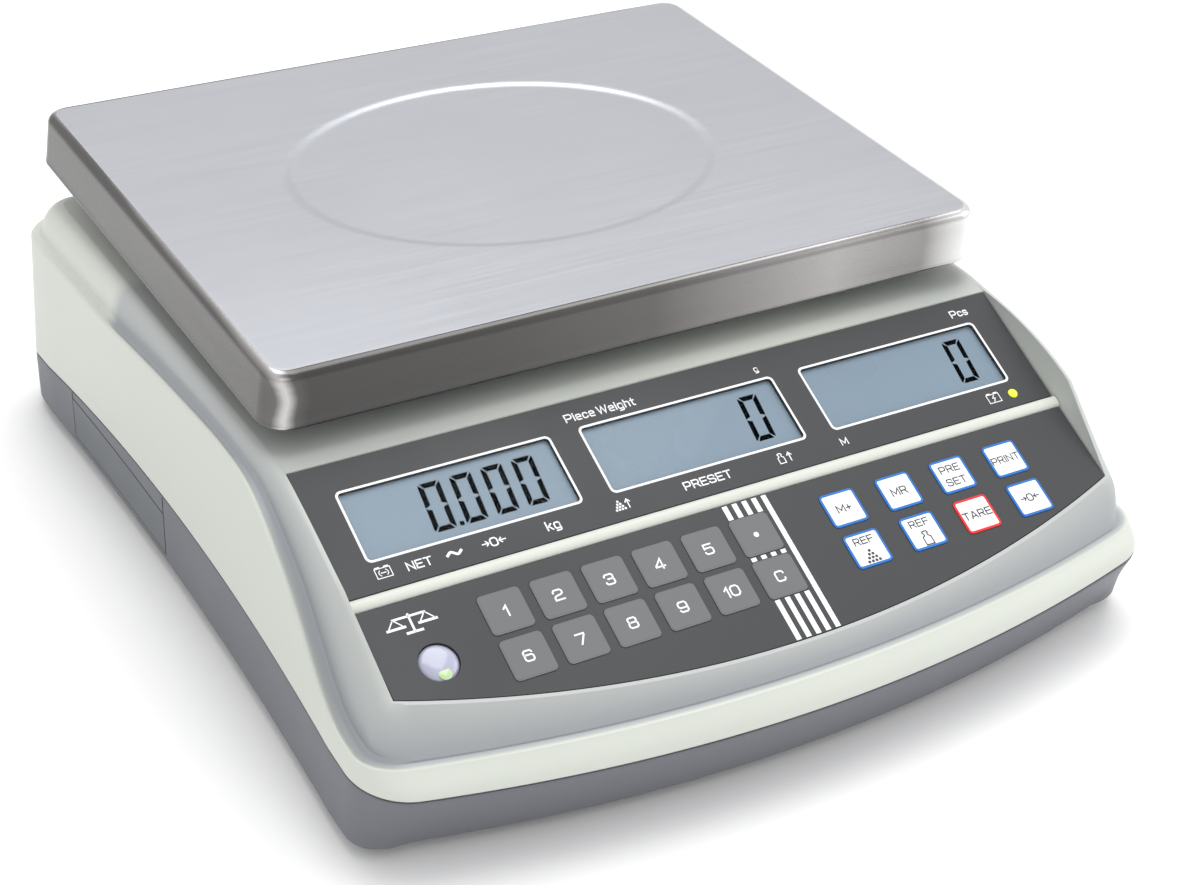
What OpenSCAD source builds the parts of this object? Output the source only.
// Counting scale: a sloping operator console in front of a weighing plate.
// Origin: on the table, centred under the object. +Z is up, the front faces -Y. Millimetres.

/* [Housing] */
// Overall width of the housing
body_w = 320; // [310:1:400]
// Overall depth of the housing
body_d = 350; // [340:1:440]
// Wall thickness of both housing shells
wall = 2.5; // [2:0.1:3]
// Radius of the housing's corners seen from above
corner_r = 22; // [18:1:28]
// Radius of the bowed front seen from above
front_arc_r = 600; // [500:10:900]
// Depth of the waist along each side
waist = 4; // [1:0.5:6]
// Height of the housing's underside above the table
base_z = 10.5; // [10:0.5:12.5]
// Height of the upper housing's back edge
rear_z = 90.2; // [88:0.5:92]
// Height of the crest between the console and the plate
crest_rise = 1.4; // [1:0.1:2]
// Height of the highest point of the seam between the housings
seam_crest_z = 35.7; // [35:0.1:37]
// Radius of the arched seam seen from the side
seam_arc_r = 1830; // [1700:10:2400]
// Gap left at the seam
seam_gap = 0.3; // [0.2:0.1:0.5]

/* [Console] */
// Slope of the console
tilt = 24.1; // [23:0.1:25]
// Length of the console field along its slope
panel_len = 111.3; // [108:0.1:114]
// Width of the housing's rim on each side of the console field
rim_w = 15.7; // [15:0.1:18]
// Height of the console field's front edge
panel_front_z = 48.6; // [48:0.1:50]
// Distance from the housing's front to the console field's front edge
panel_setback = 14.8; // [14:0.1:17]
// Radius of the field's bowed front edge
panel_arc_r = 454; // [420:1:600]
// Thickness of the overlay films
film_t = 0.8; // [0.6:0.1:1]
// Width of the rib between the two fields
rib_w = 4.9; // [4:0.1:6]
// Length along the slope of the upper field
upper_len = 50.6; // [50:0.1:52]
// Gap around films, windows and covers
fit_gap = 0.25; // [0.2:0.05:0.4]

/* [Displays] */
// Width of one display window
window_w = 80.6; // [66:0.1:90]
// Height of one display window
window_h = 28.4; // [23:0.1:30]
// Distance of the windows from the field's top edge
window_top = 11.3; // [11:0.1:14]
// Depth of the display glass below the field
lcd_depth = 3.4; // [3.4:0.1:4]
// Thickness of a display module
lcd_t = 4.5; // [4:0.1:4.5]
// Radius of the charge lamp
led_r = 1.9; // [1.5:0.1:2.2]

/* [Keys] */
// Width of a number key
num_key_w = 15.5; // [13:0.1:18.6]
// Height of a number key
num_key_h = 15; // [12.5:0.1:16]
// Distance between the number keys' columns
num_pitch = 19.4; // [19:0.1:20]
// Width of a function key
fun_key_w = 14.5; // [12:0.1:18]
// Height of a function key
fun_key_h = 13.6; // [11:0.1:16]
// Distance between the function keys' columns
fun_pitch = 23.95; // [23:0.05:24.5]
// Distance between the two rows of keys
row_pitch = 17.3; // [17:0.1:17.6]
// Travel of a key
key_travel = 0.4; // [0.3:0.05:0.45]
// How far a key stands proud of its film
key_proud = 0.35; // [0.2:0.05:0.5]
// Radius of the bubble level's capsule
level_r = 7; // [6:0.1:8]

/* [Weighing plate] */
// Width of the plate at its lower edge
plate_w = 294; // [280:1:360]
// Depth of the plate at its lower edge
plate_d = 225; // [210:1:232]
// Height of the plate's top above the table
plate_z = 125; // [123:0.5:130]
// Height of the plate's skirt
skirt_h = 20; // [18:0.5:21]
// Outward flare of the skirt on each side
flare = 1.8; // [1:0.1:2.5]
// Thickness of the plate's sheet
sheet_t = 1; // [0.8:0.1:1.2]
// Radius of the plate's corners
plate_r = 11; // [9:0.5:14]
// Depth of the oval recess in the plate
recess_depth = 0.8; // [0.5:0.1:1]
// Radius of a pan pad
pad_r = 8; // [6.5:0.1:9.6]

/* [Load cell] */
// Length of the load cell
cell_l = 130; // [120:1:140]
// Width of the load cell
cell_w = 30; // [25:0.5:36]
// Height of the load cell
cell_h = 24; // [20:0.5:24]
// Radius of the load cell's flexure bores
cell_bore_r = 8; // [6:0.1:8.4]
// Radius of the load cell's screws
cell_screw_r = 3; // [2.5:0.1:3.6]

/* [Power] */
// Battery length, across the housing
battery_l = 101; // [84:1:104]
// Battery width, along the depth
battery_w = 70; // [60:1:72]
// Battery height
battery_h = 47; // [40:0.5:48]
// How far the battery door slides
door_travel = 75; // [70:1:80]
// Length of the switch's rocker
rocker_l = 15; // [13:0.5:17]
// Tilt of the rocker to each side
rocker_tilt = 8; // [6:0.5:10]

/* [Feet] */
// Radius of a foot's rubber pad
foot_r = 13; // [11:0.5:15.5]
// Radius of a foot's threaded shank
foot_screw_r = 3; // [2.5:0.1:3.6]
// Radial clearance of the shank and its socket
running_gap = 0.05; // [0.03:0.01:0.09]
// Distance of the feet from the housing's sides
foot_side = 32; // [30:1:36]
// Distance of the front feet from the housing's front
foot_front = 55; // [50:1:60]
// Distance of the rear feet from the housing's back
foot_back = 25; // [24:1:30]

/* [Hidden] */
$fn = 64;
eps = 0.01;
big = 1000;

// The console field's own plane: u runs across, v down the slope, w outwards
panel_y = -body_d / 2 + panel_setback + panel_len * cos(tilt);
panel_z = panel_front_z + panel_len * sin(tilt);
field_w = body_w - 2 * rim_w;
film_w = field_w - 2 * fit_gap;
lower_v = upper_len + rib_w;
floor_w = -film_t;
floor_t = 2.5;
floor_under = floor_w - floor_t;

// The crest and the crown that falls from it to the front
crest_z = panel_z + crest_rise;
crest_y = panel_y + 16.6;
front_edge_y = -body_d / 2 + panel_setback;
crown_run = crest_y - front_edge_y;
crown_drop = crest_z - panel_front_z;
crown_r = (pow(crown_run, 2) + pow(crown_drop, 2)) / (2 * crown_drop);

// The side wall's upper edge: level at the back, rising to the crest, falling round the console
crease_z = 78.7;
front_ridge_z = 39.5;
wall_top = [
    [body_d / 2 + 1, crease_z], [79, crease_z], [panel_y + 38, 88.5], [panel_y + 13, 89],
    [panel_y + 0.6, 85], [panel_y - 30.4, 66], [panel_y - 53, 45.5], [panel_y - 66, front_ridge_z],
    [-body_d / 2 - 1, front_ridge_z]
];
// Steps of the upper housing's outside: inset from the outline, and how far below which section
draft_z = 52;
draft_in = 1.4;
ledge_in = 3.6;
crown_in = 9.5;
ledge_drop = 6;

seam_crest_y = -29;
// The waist runs between the front and back corners
corner_front_y = -body_d / 2 + front_arc_r - sqrt(pow(front_arc_r - corner_r, 2) - pow(body_w / 2 - corner_r, 2));
waist_from = corner_front_y + 12;
waist_to = body_d / 2 - corner_r - 12;
waist_y = (waist_from + waist_to) / 2;
waist_half = (waist_to - waist_from) / 2;
waist_r = (pow(waist_half, 2) + pow(waist, 2)) / (2 * waist);

function seam_z(y) = seam_crest_z - seam_arc_r + sqrt(pow(seam_arc_r, 2) - pow(y - seam_crest_y, 2));

chamfer_z = base_z + 3.5;
chamfer_in = 2.5;
floor_z = base_z + wall;
lip_t = 1.5;
lip_h = 3;
lip_gap = 0.3;
lip_foot_z = 21;

// Weighing line, from the table upwards
pan_y = body_d / 2 - 1.4 - plate_d / 2;
chassis_z = floor_z + 3;
chassis_t = 4;
chassis_w = 166;
chassis_d = 118;
chassis_x = -12;
cell_z = chassis_z + chassis_t + 18;
cell_top = cell_z + cell_h;
screw_gap = 0.3;
spacer_t = 4;
pedestal_l = 40;
carrier_z = cell_top + spacer_t;
arm_z = 97;
arm_t = 7;
arm_w = 16;
plate_under = plate_z - sheet_t;
pad_x = plate_w / 2 - 42;
pad_y = plate_d / 2 - 36;
pad_base = 110;
recess_rx = plate_w * 0.29;
recess_ry = plate_d * 0.29;
stop_gap = 0.6;
column_w = 38;
well_gap = 4;

// Boards
board_t = 1.6;
panel_board_w = floor_under - lcd_t - 0.3;
board_top = panel_board_w;
dome_h = 0.8;
main_board_z = 28;
main_board = [148, 38];
main_board_c = [-32, body_d / 2 - 29];

// Displays and lamp
window_pitch = (field_w - window_w) / 2 - 12.3;
window_u = [-window_pitch, 0, window_pitch];
window_v = window_top + window_h / 2;
window_ledge = 0.8;
led_uv = [field_w / 2 - 15, window_v + window_h / 2 + 5.3];
level_uv = [-field_w / 2 + 19.4, 79.8];
level_top = 57;
level_h = 11;

// Keys: name, width, height, u, v
first_row_v = 69.7;
number_u = -field_w / 2 + 48.1;
function_u = field_w / 2 - 35 - 3 * fun_pitch;
number_names = [
    ["key_1", "key_2", "key_3", "key_4", "key_5", "key_point"],
    ["key_6", "key_7", "key_8", "key_9", "key_10", "key_clear"]
];
function_names = [
    ["key_memory_add", "key_memory_recall", "key_preset", "key_print"],
    ["key_ref_count", "key_ref_weight", "key_tare", "key_zero"]
];
KEYS = concat(
    [for (row = [0, 1], col = [0:5])
        [number_names[row][col], num_key_w, num_key_h, number_u + col * num_pitch, first_row_v + row * row_pitch]],
    [for (row = [0, 1], col = [0:3])
        [function_names[row][col], fun_key_w, fun_key_h, function_u + col * fun_pitch, first_row_v + row * row_pitch]]
);
key_gap = 0.3;
key_under = floor_w + key_travel + 0.1;
stem_r = 2.5;
stem_hole_r = 3.2;

// Battery bay under the console
battery_x = 80;
battery_y = panel_y + 8;
battery_z = base_z;
bay_gap = 1;
door_t = 1.6;
door_over = 4;
door_z = base_z - 0.2 - door_t;
rail_t = 1.6;

// Power switch in the right side, connectors in the back
switch_y = panel_y + 14;
switch_z = 23;
switch_l = rocker_l + 6;
switch_h = 14.5;
switch_x = body_w / 2 - waist - 7;
rocker_h = 9.5;
pivot_x = switch_x + 2.5;
pivot_r = 1;
inlet_x = -96;
serial_x = -25;
port_z = main_board_z + board_t + 6.2;

// Feet
foot_x = body_w / 2 - foot_side;
foot_pos = [
    ["front_left", -foot_x, -body_d / 2 + foot_front], ["front_right", foot_x, -body_d / 2 + foot_front],
    ["rear_left", -foot_x, body_d / 2 - foot_back], ["rear_right", foot_x, body_d / 2 - foot_back]
];
foot_pad_h = 4.2;
foot_disc_z = 4.4;
foot_disc_h = 2.4;
foot_boss_top = 26;

// Housing screws
housing_screw_pos = [
    for (sx = [-1, 1]) each [
        [sx * 100, -body_d / 2 + 20], [sx * (body_w / 2 - 12), 2], [sx * (body_w / 2 - 45), body_d / 2 - 9]]
];
boss_r = 4.5;
pilot_r = 1.6;
joint_z = 23;
screw_head_z = 16;

// Side cover in the left side
cover_y = [30, 130];
cover_z = [chamfer_z + 0.5, 25];
cover_t = 1.8;

off_white = [0.86, 0.87, 0.85];
base_grey = [0.45, 0.46, 0.49];
film_grey = [0.26, 0.26, 0.27];
steel = [0.74, 0.75, 0.78];
cast_grey = [0.66, 0.67, 0.69];
board_green = [0.08, 0.36, 0.2];
rubber_black = [0.1, 0.1, 0.11];

// ---------- Outlines and sections ----------

function arc(centre, r, from, to, runs) = [
    for (n = [0:runs]) centre + r * [cos(from + (to - from) * n / runs), sin(from + (to - from) * n / runs)]
];

// Right-hand half of the housing seen from above, moved inwards by inset: bowed front, corner, waist, corner
function half_plan(inset) =
    let (
        hw = body_w / 2 - inset,
        back = body_d / 2 - inset,
        r = corner_r - inset,
        bow = front_arc_r - inset,
        bow_y = -body_d / 2 + front_arc_r,
        corner_y = bow_y - sqrt(pow(bow - r, 2) - pow(hw - r, 2)),
        bow_angle = asin((hw - r) / (bow - r)),
        hollow_r = waist_r + inset,
        hollow_x = body_w / 2 - waist + waist_r,
        reach = asin(sqrt(pow(hollow_r, 2) - pow(hollow_x - hw, 2)) / hollow_r)
    )
    concat(
        arc([0, bow_y], bow, -90, -90 + bow_angle, 12),
        arc([hw - r, corner_y], r, -90 + bow_angle, 0, 8),
        arc([hollow_x, waist_y], hollow_r, 180 + reach, 180 - reach, 10),
        arc([hw - r, back - r], r, 0, 90, 8)
    );

module plan(inset = 0) {
    half = half_plan(inset);
    polygon(concat(half, [for (n = [len(half) - 1:-1:1]) [-half[n][0], half[n][1]]]));
}

// Mirrors a right-hand shape to the left when side is -1
module scale_x(side) {
    if (side < 0) mirror([1, 0, 0]) children();
    else children();
}

// Extrudes a section drawn in Y and Z across the whole width
module across(width = big) {
    rotate([90, 0, 90]) linear_extrude(width, center = true) children();
}

// Section of everything below the seam, which is drawn as short straight runs
module below_seam(drop = 0) {
    run = (body_d + 20) / 24;
    translate([0, -drop]) polygon(concat(
        [for (n = [0:24]) [-body_d / 2 - 10 + n * run, seam_z(-body_d / 2 - 10 + n * run)]],
        [[body_d / 2 + 10, -20], [-body_d / 2 - 10, -20]]
    ));
}

function crown_z(y) = crest_z - crown_r + sqrt(pow(crown_r, 2) - pow(y - crest_y, 2));

// Section of the top surface, lowered by drop; the crown is drawn as short straight runs
module crown_section(drop = 0) {
    front = -body_d / 2 - 1;
    run = (crest_y - front) / 16;
    translate([0, -drop]) polygon(concat(
        [for (n = [0:16]) [front + n * run, crown_z(front + n * run)]],
        [[body_d / 2 + 1, rear_z], [body_d / 2 + 1, 0], [front, 0]]
    ));
}

// Section below the side wall's upper edge, lowered by drop and cut off at top
module wall_section(drop = 0, top = big) {
    intersection() {
        translate([0, -drop]) polygon(concat(wall_top, [[-body_d / 2 - 1, -5], [body_d / 2 + 1, -5]]));
        translate([-body_d, -10]) square([2 * body_d, top + 10]);
    }
}

// The upper housing's outside as a solid, or its cavity when skin is the wall
module upper_solid(skin = 0) {
    intersection() {
        linear_extrude(draft_z + 40) plan(skin);
        across() wall_section(skin, draft_z - skin);
    }
    intersection() {
        translate([0, 0, 3]) linear_extrude(crest_z) plan(skin + draft_in);
        across() wall_section(skin);
    }
    intersection() {
        translate([0, 0, 6]) linear_extrude(crest_z) plan(skin + ledge_in);
        across() crown_section(skin + ledge_drop);
    }
    intersection() {
        translate([0, 0, 9]) linear_extrude(crest_z) plan(skin + crown_in);
        across() crown_section(skin);
    }
}

// Places children on the console field: x across, -y down the slope, z outwards
module on_panel() {
    translate([0, panel_y, panel_z]) rotate([tilt, 0, 0]) children();
}

// A rectangle on the console with its centre at u, v
module panel_box(u, v, w, h, low, high) {
    on_panel() translate([u - w / 2, -v - h / 2, low]) cube([w, h, high - low]);
}

// A true round on the console
module panel_rod(u, v, r, low, high) {
    on_panel() translate([u, -v, low]) cylinder(h = high - low, r = r);
}

// Outline of the console field between two places down the slope, shrunk by gap
module field_outline(from_v, to_v, gap = 0) {
    intersection() {
        translate([-field_w / 2 + gap, -to_v + gap]) square([field_w - 2 * gap, to_v - from_v - 2 * gap]);
        translate([0, -panel_len + panel_arc_r]) circle(panel_arc_r - gap, $fn = 400);
    }
}

module key_shape(key, gap, low, high) {
    panel_box(key[3], key[4], key[1] + 2 * gap, key[2] + 2 * gap, low, high);
}

module rod(p, r, h) {
    translate(p) cylinder(r = r, h = h);
}

// ---------- Weighing plate and what carries it ----------

module plate_block(inset, low, high) {
    hull() for (end = [[low, 0], [high, flare * (high - low) / skirt_h]], sx = [-1, 1], sy = [-1, 1]) {
        corner = plate_r - 1;
        translate([sx * (plate_w / 2 - inset - end[1] - corner), pan_y + sy * (plate_d / 2 - inset - end[1] - corner), end[0]])
            cylinder(r = corner, h = eps, $fn = 24);
    }
}

module weighing_plate() {
    color(steel) {
        difference() {
            plate_block(0, plate_z - skirt_h, plate_z - eps);
            plate_block(sheet_t, plate_z - skirt_h - eps, plate_under - eps);
            translate([0, pan_y, plate_z - recess_depth]) linear_extrude(2) oval(recess_rx, recess_ry);
        }
        translate([0, pan_y, plate_under - recess_depth]) linear_extrude(recess_depth + eps)
            oval(recess_rx + sheet_t, recess_ry + sheet_t);
    }
}

module oval(rx, ry) {
    polygon([for (a = [0:5:355]) [rx * cos(a), ry * sin(a)]]);
}

// Cast carrier: a column on the load cell's free end, a hub and four arms
module pan_support() {
    color(cast_grey) difference() {
        union() {
            translate([cell_l / 2 - column_w, pan_y - cell_w / 2 - 2, carrier_z])
                cube([column_w, cell_w + 4, arm_z - carrier_z + arm_t]);
            translate([-35, pan_y - 30, arm_z]) cube([cell_l / 2 + 35, 60, arm_t]);
            for (sx = [-1, 1], sy = [-1, 1]) {
                arm_angle = atan2(sy * pad_y, sx * pad_x);
                translate([0, pan_y, arm_z]) rotate([0, 0, arm_angle]) translate([0, -arm_w / 2, 0])
                    cube([norm([pad_x, pad_y]), arm_w, arm_t]);
                rod([sx * pad_x, pan_y + sy * pad_y, arm_z], pad_r + 4, pad_base - arm_z + 4);
            }
        }
        for (sx = [-1, 1], sy = [-1, 1]) rod([sx * pad_x, pan_y + sy * pad_y, pad_base], pad_r, 20);
        for (p = cell_screws(1)) {
            rod([p[0], p[1], carrier_z - 1], cell_screw_r + screw_gap, 20);
            rod([p[0], p[1], carrier_z + 9], cell_screw_r + 3, 40);
        }
    }
}

module pan_pads() {
    color(rubber_black) for (sx = [-1, 1], sy = [-1, 1])
        rod([sx * pad_x, pan_y + sy * pad_y, pad_base], pad_r, plate_under - pad_base);
}

// Screw positions at one end of the load cell: side 1 is the free end, -1 the fixed end
function cell_screws(side) = [
    for (n = [0, 1], sy = [-1, 1])
        [side * (cell_l / 2 - 9 - 18 * n), pan_y + sy * (cell_w / 2 - 8)]
];

module load_cell() {
    color("silver") difference() {
        translate([-cell_l / 2, pan_y - cell_w / 2, cell_z]) cube([cell_l, cell_w, cell_h]);
        for (sx = [-1, 1]) translate([sx * 13, pan_y + cell_w, cell_z + cell_h / 2]) rotate([90, 0, 0])
            cylinder(r = cell_bore_r, h = 2 * cell_w);
        translate([-13, pan_y - cell_w, cell_z + cell_h / 2 - 3]) cube([26, 2 * cell_w, 6]);
        for (side = [-1, 1], p = cell_screws(side))
            rod([p[0], p[1], cell_z - 1], cell_screw_r + screw_gap, cell_h + 2);
    }
}

module upper_spacer() {
    color("darkgray") difference() {
        translate([cell_l / 2 - column_w, pan_y - cell_w / 2, cell_top]) cube([column_w, cell_w, spacer_t]);
        for (p = cell_screws(1)) rod([p[0], p[1], cell_top - 1], cell_screw_r + screw_gap, spacer_t + 2);
    }
}

// Screws with round heads: a shank of length down from z, its head above
module screw_down(p, r, z, length) {
    rod([p[0], p[1], z - length], r, length + eps);
    difference() {
        rod([p[0], p[1], z], 1.8 * r, 1.4 * r);
        translate([p[0], p[1], z + 0.6 * r]) cylinder(r = r, h = r, $fn = 6);
    }
}

module screw_up(p, r, z, length) {
    translate([0, 0, z]) mirror([0, 0, 1]) screw_down(p, r, 0, length);
}

module cell_top_screws() {
    color("dimgray") for (p = cell_screws(1)) screw_down(p, cell_screw_r, carrier_z + 9, 9 + spacer_t + 14);
}

module cell_base_screws() {
    color("dimgray") for (p = cell_screws(-1)) screw_up(p, cell_screw_r, chassis_z + 4.5, 18 + chassis_t - 4.5 + 14);
}

// Screw positions of the chassis casting
function chassis_screw_pos() = [
    for (sx = [-1, 1], sy = [-1, 1])
        [chassis_x + sx * (chassis_w / 2 - 8), pan_y + sy * (chassis_d / 2 - 8)]
];

module chassis() {
    color(cast_grey) difference() {
        union() {
            translate([chassis_x - chassis_w / 2, pan_y - chassis_d / 2, chassis_z])
                cube([chassis_w, chassis_d, chassis_t]);
            translate([-cell_l / 2, pan_y - cell_w / 2 - 4, chassis_z])
                cube([pedestal_l, cell_w + 8, cell_z - chassis_z]);
            for (sy = [-1, 1]) translate([chassis_x - chassis_w / 2, pan_y + sy * (cell_w / 2 + 12) - 2, chassis_z])
                cube([chassis_w, 4, chassis_t + 6]);
        }
        for (p = cell_screws(-1)) {
            rod([p[0], p[1], chassis_z - 1], cell_screw_r + screw_gap, 40);
            rod([p[0], p[1], chassis_z - 1], cell_screw_r * 1.8 + 0.4, 5.5);
        }
        for (p = chassis_screw_pos()) rod([p[0], p[1], chassis_z - 1], 2.3, 20);
        rod([cell_l / 2 - 18, pan_y, chassis_z - 1], 2.5, 20);
    }
}

module chassis_screws() {
    color("dimgray") for (p = chassis_screw_pos()) screw_down(p, 2, chassis_z + chassis_t, 8);
}

module overload_stop() {
    color("dimgray") screw_down([cell_l / 2 - 18, pan_y], 2.5, cell_z - stop_gap - 3.5, cell_z - stop_gap - 3.5 - chassis_z);
}

// ---------- Housings ----------

module panel_openings() {
    for (u = window_u)
        panel_box(u, window_v, window_w - 2 * window_ledge, window_h - 2 * window_ledge, floor_under - 1, 1);
    for (k = KEYS) panel_rod(k[3], k[4], stem_hole_r, floor_under - 1, 1);
    panel_rod(led_uv[0], led_uv[1], led_r + fit_gap, floor_under - 1, 1);
    level_place() translate([0, 0, 1]) cylinder(r = level_r + fit_gap, h = 40);
}

// Moves to the foot of the bubble level, which stands upright below the sloping film
module level_place() {
    translate([level_uv[0], panel_y - level_uv[1] * cos(tilt), level_top - level_h - 1]) children();
}

module panel_posts() {
    for (u = [-window_pitch / 2, window_pitch / 2], v = [25, 58])
        panel_rod(u, v, 2.5, board_top, floor_w - 1);
    for (s = [-1, 1]) panel_rod(s * (field_w / 2 - 4.5), 30, 2.5, board_top, floor_w - 1);
}

module upper_housing() {
    color(off_white) difference() {
        union() {
            difference() {
                upper_solid();
                upper_cavity();
            }
            intersection() {
                upper_solid();
                union() {
                    for (p = housing_screw_pos) rod([p[0], p[1], joint_z + 0.2], boss_r, 80);
                    level_place() cylinder(r = level_r + 2.2, h = 30);
                }
                console_and_deck();
            }
            panel_posts();
        }
        intersection() {
            across() below_seam(-seam_gap);
            lower_shape_with_bosses();
        }
        console_pocket();
        panel_openings();
        for (p = housing_screw_pos) rod([p[0], p[1], joint_z], pilot_r, 22);
        translate([cell_l / 2 - column_w - well_gap, pan_y - cell_w / 2 - 2 - well_gap, crease_z - 20])
            cube([column_w + 2 * well_gap, cell_w + 4 + 2 * well_gap, 60]);
        back_openings();
    }
}

// Everything below the seam except the columns that reach down to the lower posts
module lower_shape_with_bosses() {
    difference() {
        translate([-body_w, -body_d, -1]) cube([2 * body_w, 2 * body_d, seam_crest_z + 10]);
        for (p = housing_screw_pos) rod([p[0], p[1], joint_z + 0.2], boss_r, 60);
    }
}

// The region of the console below its field, plus everything behind it
module console_and_deck() {
    difference() {
        translate([-body_w, -body_d, -1]) cube([2 * body_w, 2 * body_d, crest_z + 10]);
        on_panel() translate([-field_w / 2, -panel_len - 20, floor_w]) cube([field_w, panel_len + 20, 60]);
    }
}

module upper_cavity() {
    intersection() {
        upper_solid(wall);
        difference() {
            translate([-body_w, -body_d, -1]) cube([2 * body_w, 2 * body_d, crest_z + 10]);
            on_panel() translate([-body_w, -panel_len - 30, floor_under]) cube([2 * body_w, panel_len + 33, 60]);
        }
    }
}

module console_pocket() {
    on_panel() translate([0, 0, floor_w]) linear_extrude(40) {
        field_outline(0, upper_len);
        field_outline(lower_v, panel_len + 5);
    }
    on_panel() translate([0, 0, 1.2]) linear_extrude(40) field_outline(0, panel_len + 5);
}

module back_openings() {
    translate([inlet_x - 7 - fit_gap, body_d / 2 - 12, main_board_z + board_t - fit_gap])
        cube([14 + 2 * fit_gap, 20, 11 + 2 * fit_gap]);
    translate([serial_x - 15.5 - fit_gap, body_d / 2 - 12, port_z - 6.25 - fit_gap])
        cube([31 + 2 * fit_gap, 20, 12.5 + 2 * fit_gap]);
}

module lower_solid(skin = 0) {
    translate([0, 0, chamfer_z]) linear_extrude(40) plan(skin);
    translate([0, 0, base_z]) linear_extrude(chamfer_z - base_z + eps) plan(skin + chamfer_in);
}

module lower_housing() {
    color(base_grey) difference() {
        union() {
            intersection() {
                difference() {
                    lower_solid();
                    translate([0, 0, floor_z]) linear_extrude(60) plan(wall + lip_gap + lip_t);
                    translate([0, 0, lip_foot_z]) linear_extrude(60) plan(wall);
                }
                across() below_seam(0);
            }
            intersection() {
                translate([0, 0, lip_foot_z - 0.5]) linear_extrude(20) difference() {
                    plan(wall + lip_gap);
                    plan(wall + lip_gap + lip_t);
                }
                across() below_seam(-lip_h);
                lip_clearance();
            }
            for (f = foot_pos) rod([f[1], f[2], base_z], 7, foot_boss_top - base_z);
            intersection() {
                for (p = housing_screw_pos) rod([p[0], p[1], base_z], boss_r + 1, joint_z - base_z);
                lower_solid();
            }
            for (p = chassis_screw_pos()) rod([p[0], p[1], base_z], 5, chassis_z - base_z);
            for (sx = [-1, 1], sy = [-1, 1])
                rod([main_board_c[0] + sx * (main_board[0] / 2 - 5), main_board_c[1] + sy * (main_board[1] / 2 - 5), base_z],
                    3, main_board_z - base_z);
            battery_walls();
            door_rails();
        }
        for (f = foot_pos) rod([f[1], f[2], 0], foot_screw_r + running_gap, 60);
        for (p = housing_screw_pos) {
            rod([p[0], p[1], 0], pilot_r + 0.4, 60);
            rod([p[0], p[1], 0], 3.8, screw_head_z);
        }
        for (p = chassis_screw_pos()) rod([p[0], p[1], chassis_z - 4.5], 2, 20);
        translate([battery_x - battery_l / 2 - bay_gap, battery_y - battery_w / 2 - bay_gap, 0])
            cube([battery_l + 2 * bay_gap, battery_w + 2 * bay_gap, floor_z + 1]);
        side_cover_shape(fit_gap);
        switch_opening(fit_gap);
    }
}

// Keeps the lip clear of the columns and connectors that cross it
module lip_clearance() {
    difference() {
        translate([-body_w, -body_d, 0]) cube([2 * body_w, 2 * body_d, 80]);
        for (p = housing_screw_pos) rod([p[0], p[1], 0], boss_r + 0.5, 80);
        translate([serial_x - 18, body_d / 2 - 20, main_board_z - 8]) cube([36, 30, 40]);
        translate([inlet_x - 10, body_d / 2 - 20, main_board_z - 8]) cube([20, 30, 40]);
    }
}

module battery_walls() {
    difference() {
        translate([battery_x - battery_l / 2 - bay_gap - wall, battery_y - battery_w / 2 - bay_gap - wall, base_z])
            cube([battery_l + 2 * (bay_gap + wall), battery_w + 2 * (bay_gap + wall), 14]);
        translate([battery_x - battery_l / 2 - bay_gap, battery_y - battery_w / 2 - bay_gap, 0])
            cube([battery_l + 2 * bay_gap, battery_w + 2 * bay_gap, 60]);
    }
}

// Two hooked rails that the battery door slides in
module door_rails() {
    door_half = battery_l / 2 + door_over;
    for (s = [-1, 1]) translate([battery_x, 0, 0]) scale_x(s)
        translate([door_half + 0.3, battery_y - battery_w / 2 - door_over, 0]) {
            translate([0, 0, door_z - 0.3 - rail_t]) cube([rail_t, battery_w + 2 * door_over, base_z - door_z + rail_t + 1]);
            translate([-3, 0, door_z - 0.3 - rail_t]) cube([3 + rail_t, battery_w + 2 * door_over, rail_t]);
        }
}

module battery_door() {
    color(base_grey) translate([battery_x, battery_y, door_z]) difference() {
        translate([-battery_l / 2 - door_over, -battery_w / 2 - door_over, 0])
            cube([battery_l + 2 * door_over, battery_w + 2 * door_over, door_t]);
        for (n = [0:4]) translate([-14, -battery_w / 2 + 2 + 3 * n, -1]) cube([28, 1.2, 1.5]);
    }
}

module side_cover_shape(gap) {
    intersection() {
        difference() {
            translate([0, 0, cover_z[0] - gap]) linear_extrude(cover_z[1] - cover_z[0] + 2 * gap) plan(-gap * 4);
            translate([0, 0, -1]) linear_extrude(80) plan(cover_t);
        }
        translate([-body_w, cover_y[0] - gap, 0]) cube([body_w, cover_y[1] - cover_y[0] + 2 * gap, 60]);
    }
}

module side_cover() {
    color(base_grey) intersection() {
        difference() {
            translate([0, 0, cover_z[0]]) linear_extrude(cover_z[1] - cover_z[0]) plan(0);
            translate([0, 0, -1]) linear_extrude(80) plan(cover_t);
        }
        translate([-body_w, cover_y[0], 0]) cube([body_w, cover_y[1] - cover_y[0], 60]);
    }
}

module housing_screws() {
    color("dimgray") for (p = housing_screw_pos) screw_up(p, pilot_r, screw_head_z, 26);
}

// ---------- Console ----------

module display_overlay() {
    color(film_grey) difference() {
        on_panel() translate([0, 0, floor_w]) linear_extrude(film_t) field_outline(0, upper_len, fit_gap);
        for (u = window_u)
            panel_box(u, window_v, window_w + 2 * fit_gap, window_h + 2 * fit_gap, floor_w - 1, 1);
        panel_rod(led_uv[0], led_uv[1], led_r + fit_gap, floor_w - 1, 1);
    }
}

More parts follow.
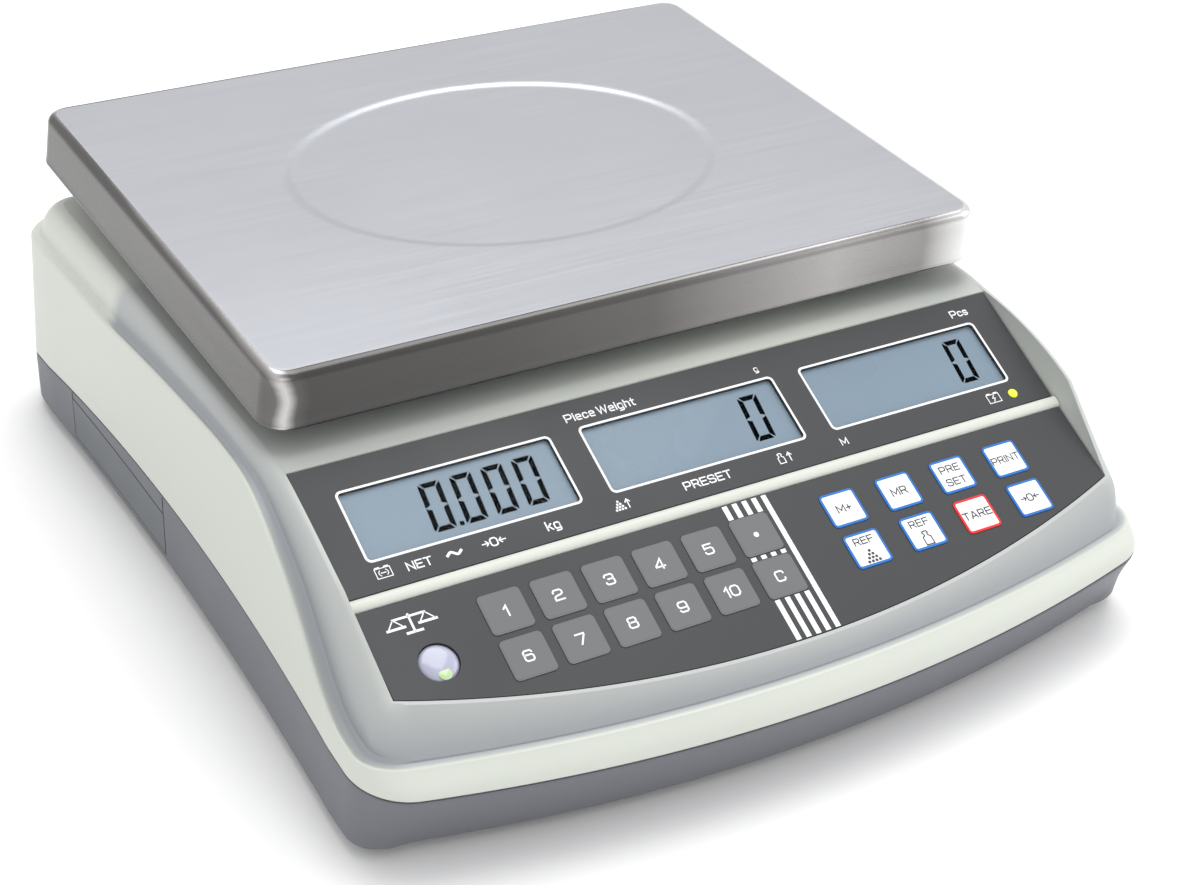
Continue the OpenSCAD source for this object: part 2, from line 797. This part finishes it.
module keypad_overlay() {
    color(film_grey) difference() {
        on_panel() translate([0, 0, floor_w]) linear_extrude(film_t) field_outline(lower_v, panel_len + 5, fit_gap);
        for (k = KEYS) key_shape(k, key_gap, floor_w - 1, 1);
        panel_rod(level_uv[0], level_uv[1], level_r, floor_w - 1, 1);
    }
}

module display_windows() {
    color([0.8, 0.86, 0.9, 0.5]) for (u = window_u)
        panel_box(u, window_v, window_w, window_h, floor_w, -0.1);
}

// One display: glass in a frame, on the panel board
module lcd_module(u) {
    frame_w = window_w + 5;
    frame_h = window_h + 6;
    difference() {
        panel_box(u, window_v, frame_w, frame_h, board_top, board_top + lcd_t);
        difference() {
            panel_box(u, window_v, frame_w + 1, frame_h + 1, board_top + lcd_t - 0.6, board_top + lcd_t + 1);
            panel_box(u, window_v, window_w - 1, window_h - 1, board_top, board_top + lcd_t + 2);
        }
    }
}

module lcd_weight() { color("lightsteelblue") lcd_module(window_u[0]); }
module lcd_piece_weight() { color("lightsteelblue") lcd_module(window_u[1]); }
module lcd_count() { color("lightsteelblue") lcd_module(window_u[2]); }

module panel_board() {
    color(board_green) difference() {
        union() {
            on_panel() translate([0, 0, board_top - board_t]) linear_extrude(board_t)
                field_outline(3, panel_len - 8, 6);
            for (k = KEYS) panel_rod(k[3], k[4], 4, board_top, board_top + dome_h);
        }
        level_place() translate([0, 0, -20]) cylinder(r = level_r + 3, h = 60);
    }
}

module key_cap(key) {
    color(key[1] == num_key_w ? [0.53, 0.53, 0.53] : [0.95, 0.95, 0.96]) {
        key_shape(key, 0, key_under, key_proud);
        panel_rod(key[3], key[4], stem_r, board_top + dome_h + key_travel + 0.1, key_under + eps);
    }
}

module bubble_level() {
    color([0.75, 0.85, 0.7, 0.7]) level_place() {
        translate([0, 0, 1]) cylinder(r = level_r, h = level_h - 2);
        translate([0, 0, level_h - 1]) cylinder(r1 = level_r, r2 = level_r - 1, h = 1);
    }
}

module charge_lamp() {
    color([0.8, 0.95, 0.2]) {
        panel_rod(led_uv[0], led_uv[1], led_r, board_top, 0);
        on_panel() intersection() {
            translate([led_uv[0], -led_uv[1], -2 * led_r]) sphere(r = led_r * 2.236);
            translate([led_uv[0], -led_uv[1], -eps]) cylinder(r = led_r, h = 2);
        }
    }
}

// ---------- Electrics ----------

module main_board() {
    color(board_green) union() {
        translate([main_board_c[0] - main_board[0] / 2, main_board_c[1] - main_board[1] / 2, main_board_z])
            cube([main_board[0], main_board[1], board_t]);
        for (n = [0:3]) translate([main_board_c[0] - 30 + 22 * n, main_board_c[1] - 12, main_board_z + board_t - eps])
            cube([12, 12, 2.5]);
        rod([main_board_c[0] + 62, main_board_c[1], main_board_z + board_t - eps], 7, 14);
    }
}

module power_inlet() {
    color("black") difference() {
        translate([inlet_x - 7, body_d / 2 - 14, main_board_z + board_t]) cube([14, 14, 11]);
        translate([inlet_x, body_d / 2 + 1, main_board_z + board_t + 5.5]) rotate([90, 0, 0]) difference() {
            cylinder(r = 3, h = 11);
            cylinder(r = 1, h = 12);
        }
    }
}

module serial_port() {
    color("silver") {
        translate([serial_x - 15.5, body_d / 2 - 16, port_z - 6.25 + 0.05]) cube([31, 15, 12.4]);
        translate([serial_x - 8.5, body_d / 2 - 1 - eps, port_z - 4]) cube([17, 1, 8]);
    }
}

module load_cell_cable() {
    route = [
        [-cell_l / 2, pan_y, cell_z + 14], [-cell_l / 2 - 14, pan_y, cell_z + 14],
        [-cell_l / 2 - 14, main_board_c[1] - 6, cell_z + 14], [-cell_l / 2 - 14, main_board_c[1] - 6, main_board_z + board_t]
    ];
    color("black") for (n = [0:len(route) - 2]) {
        span = route[n + 1] - route[n];
        translate(route[n]) rotate([0, acos(span[2] / norm(span)), atan2(span[1], span[0])])
            cylinder(r = 2, h = norm(span));
        if (n > 0) translate(route[n]) sphere(r = 2);
    }
}

module ribbon_cable() {
    board_back = -(board_top - board_t);
    start_y = panel_y - 30 * cos(tilt) + board_back * sin(tilt);
    start_z = panel_z - 30 * sin(tilt) - board_back * cos(tilt);
    end_y = main_board_c[1] - 12;
    color("gray") translate([-86, 0, 0]) across(24) polygon([
        [start_y, start_z], [start_y + 1, start_z + tan(tilt)], [start_y + 1, 47], [end_y + 1, 47],
        [end_y + 1, main_board_z + board_t], [end_y, main_board_z + board_t], [end_y, 46], [start_y, 46]
    ]);
}

module battery() {
    color([0.2, 0.22, 0.25]) {
        translate([battery_x - battery_l / 2, battery_y - battery_w / 2, battery_z])
            cube([battery_l, battery_w, battery_h]);
        for (s = [-1, 1]) translate([battery_x - battery_l / 2 - 6, battery_y + s * 22 - 3, battery_z + battery_h - 9])
            cube([6 + eps, 6, 1]);
    }
}

module switch_opening(gap) {
    translate([switch_x - 5, switch_y - switch_l / 2 - gap, switch_z - switch_h / 2 - gap])
        cube([30, switch_l + 2 * gap, switch_h + 2 * gap]);
}

module switch_body() {
    color("black") difference() {
        translate([switch_x - 14, switch_y - switch_l / 2, switch_z - switch_h / 2])
            cube([21.5, switch_l, switch_h]);
        translate([switch_x - 3, switch_y - rocker_l / 2 - 0.5, switch_z - rocker_h / 2 - 0.4])
            cube([20, rocker_l + 1, rocker_h + 0.8]);
        rod([pivot_x, switch_y, switch_z - rocker_h / 2 - 1.6], pivot_r + running_gap, rocker_h + 3.2);
    }
}

// Rocker, resting with its rear half pressed in
module power_rocker() {
    half = rocker_l / 2 - 0.4;
    slope = half * tan(rocker_tilt);
    color("black") {
        translate([pivot_x, switch_y, switch_z - rocker_h / 2]) rotate([0, 0, -rocker_tilt])
            linear_extrude(rocker_h) polygon([
                [-3.6, -2.4], [-3.6, 2.4], [0.2, half], [4.4 + slope, half], [4.4, 0], [4.4 + slope, -half],
                [0.2, -half]
            ]);
        rod([pivot_x, switch_y, switch_z - rocker_h / 2 - 1.5], pivot_r, rocker_h + 3);
    }
}

// ---------- Feet ----------

module foot_pad(f) {
    color(rubber_black) difference() {
        translate([f[1], f[2], 0]) union() {
            cylinder(r = foot_r, h = 2.6);
            translate([0, 0, 2.6 - eps]) cylinder(r1 = foot_r, r2 = foot_r - 3, h = foot_pad_h - 2.6);
        }
        rod([f[1], f[2], 1.6], 4 + running_gap, foot_pad_h);
    }
}

module foot_screw(f) {
    color("silver") {
        rod([f[1], f[2], 1.65], 4, foot_disc_z - 1.65 + eps);
        translate([f[1], f[2], foot_disc_z]) difference() {
            cylinder(r = foot_r - 3.5, h = foot_disc_h);
            for (a = [0:30:330]) rotate([0, 0, a]) translate([foot_r - 3.5, 0, -1]) cylinder(r = 0.9, h = foot_disc_h + 2);
        }
        rod([f[1], f[2], foot_disc_z], foot_screw_r, 26);
    }
}

weighing_plate();
pan_support();
pan_pads();
upper_spacer();
cell_top_screws();
load_cell();
cell_base_screws();
chassis();
chassis_screws();
overload_stop();
upper_housing();
lower_housing();
housing_screws();
side_cover();
display_overlay();
keypad_overlay();
display_windows();
lcd_weight();
lcd_piece_weight();
lcd_count();
panel_board();
main_board();
ribbon_cable();
load_cell_cable();
battery();
battery_door();
power_inlet();
serial_port();
switch_body();
power_rocker();
bubble_level();
charge_lamp();
for (f = foot_pos) {
    foot_pad(f);
    foot_screw(f);
}
for (k = KEYS) {
    key_cap(k);
}
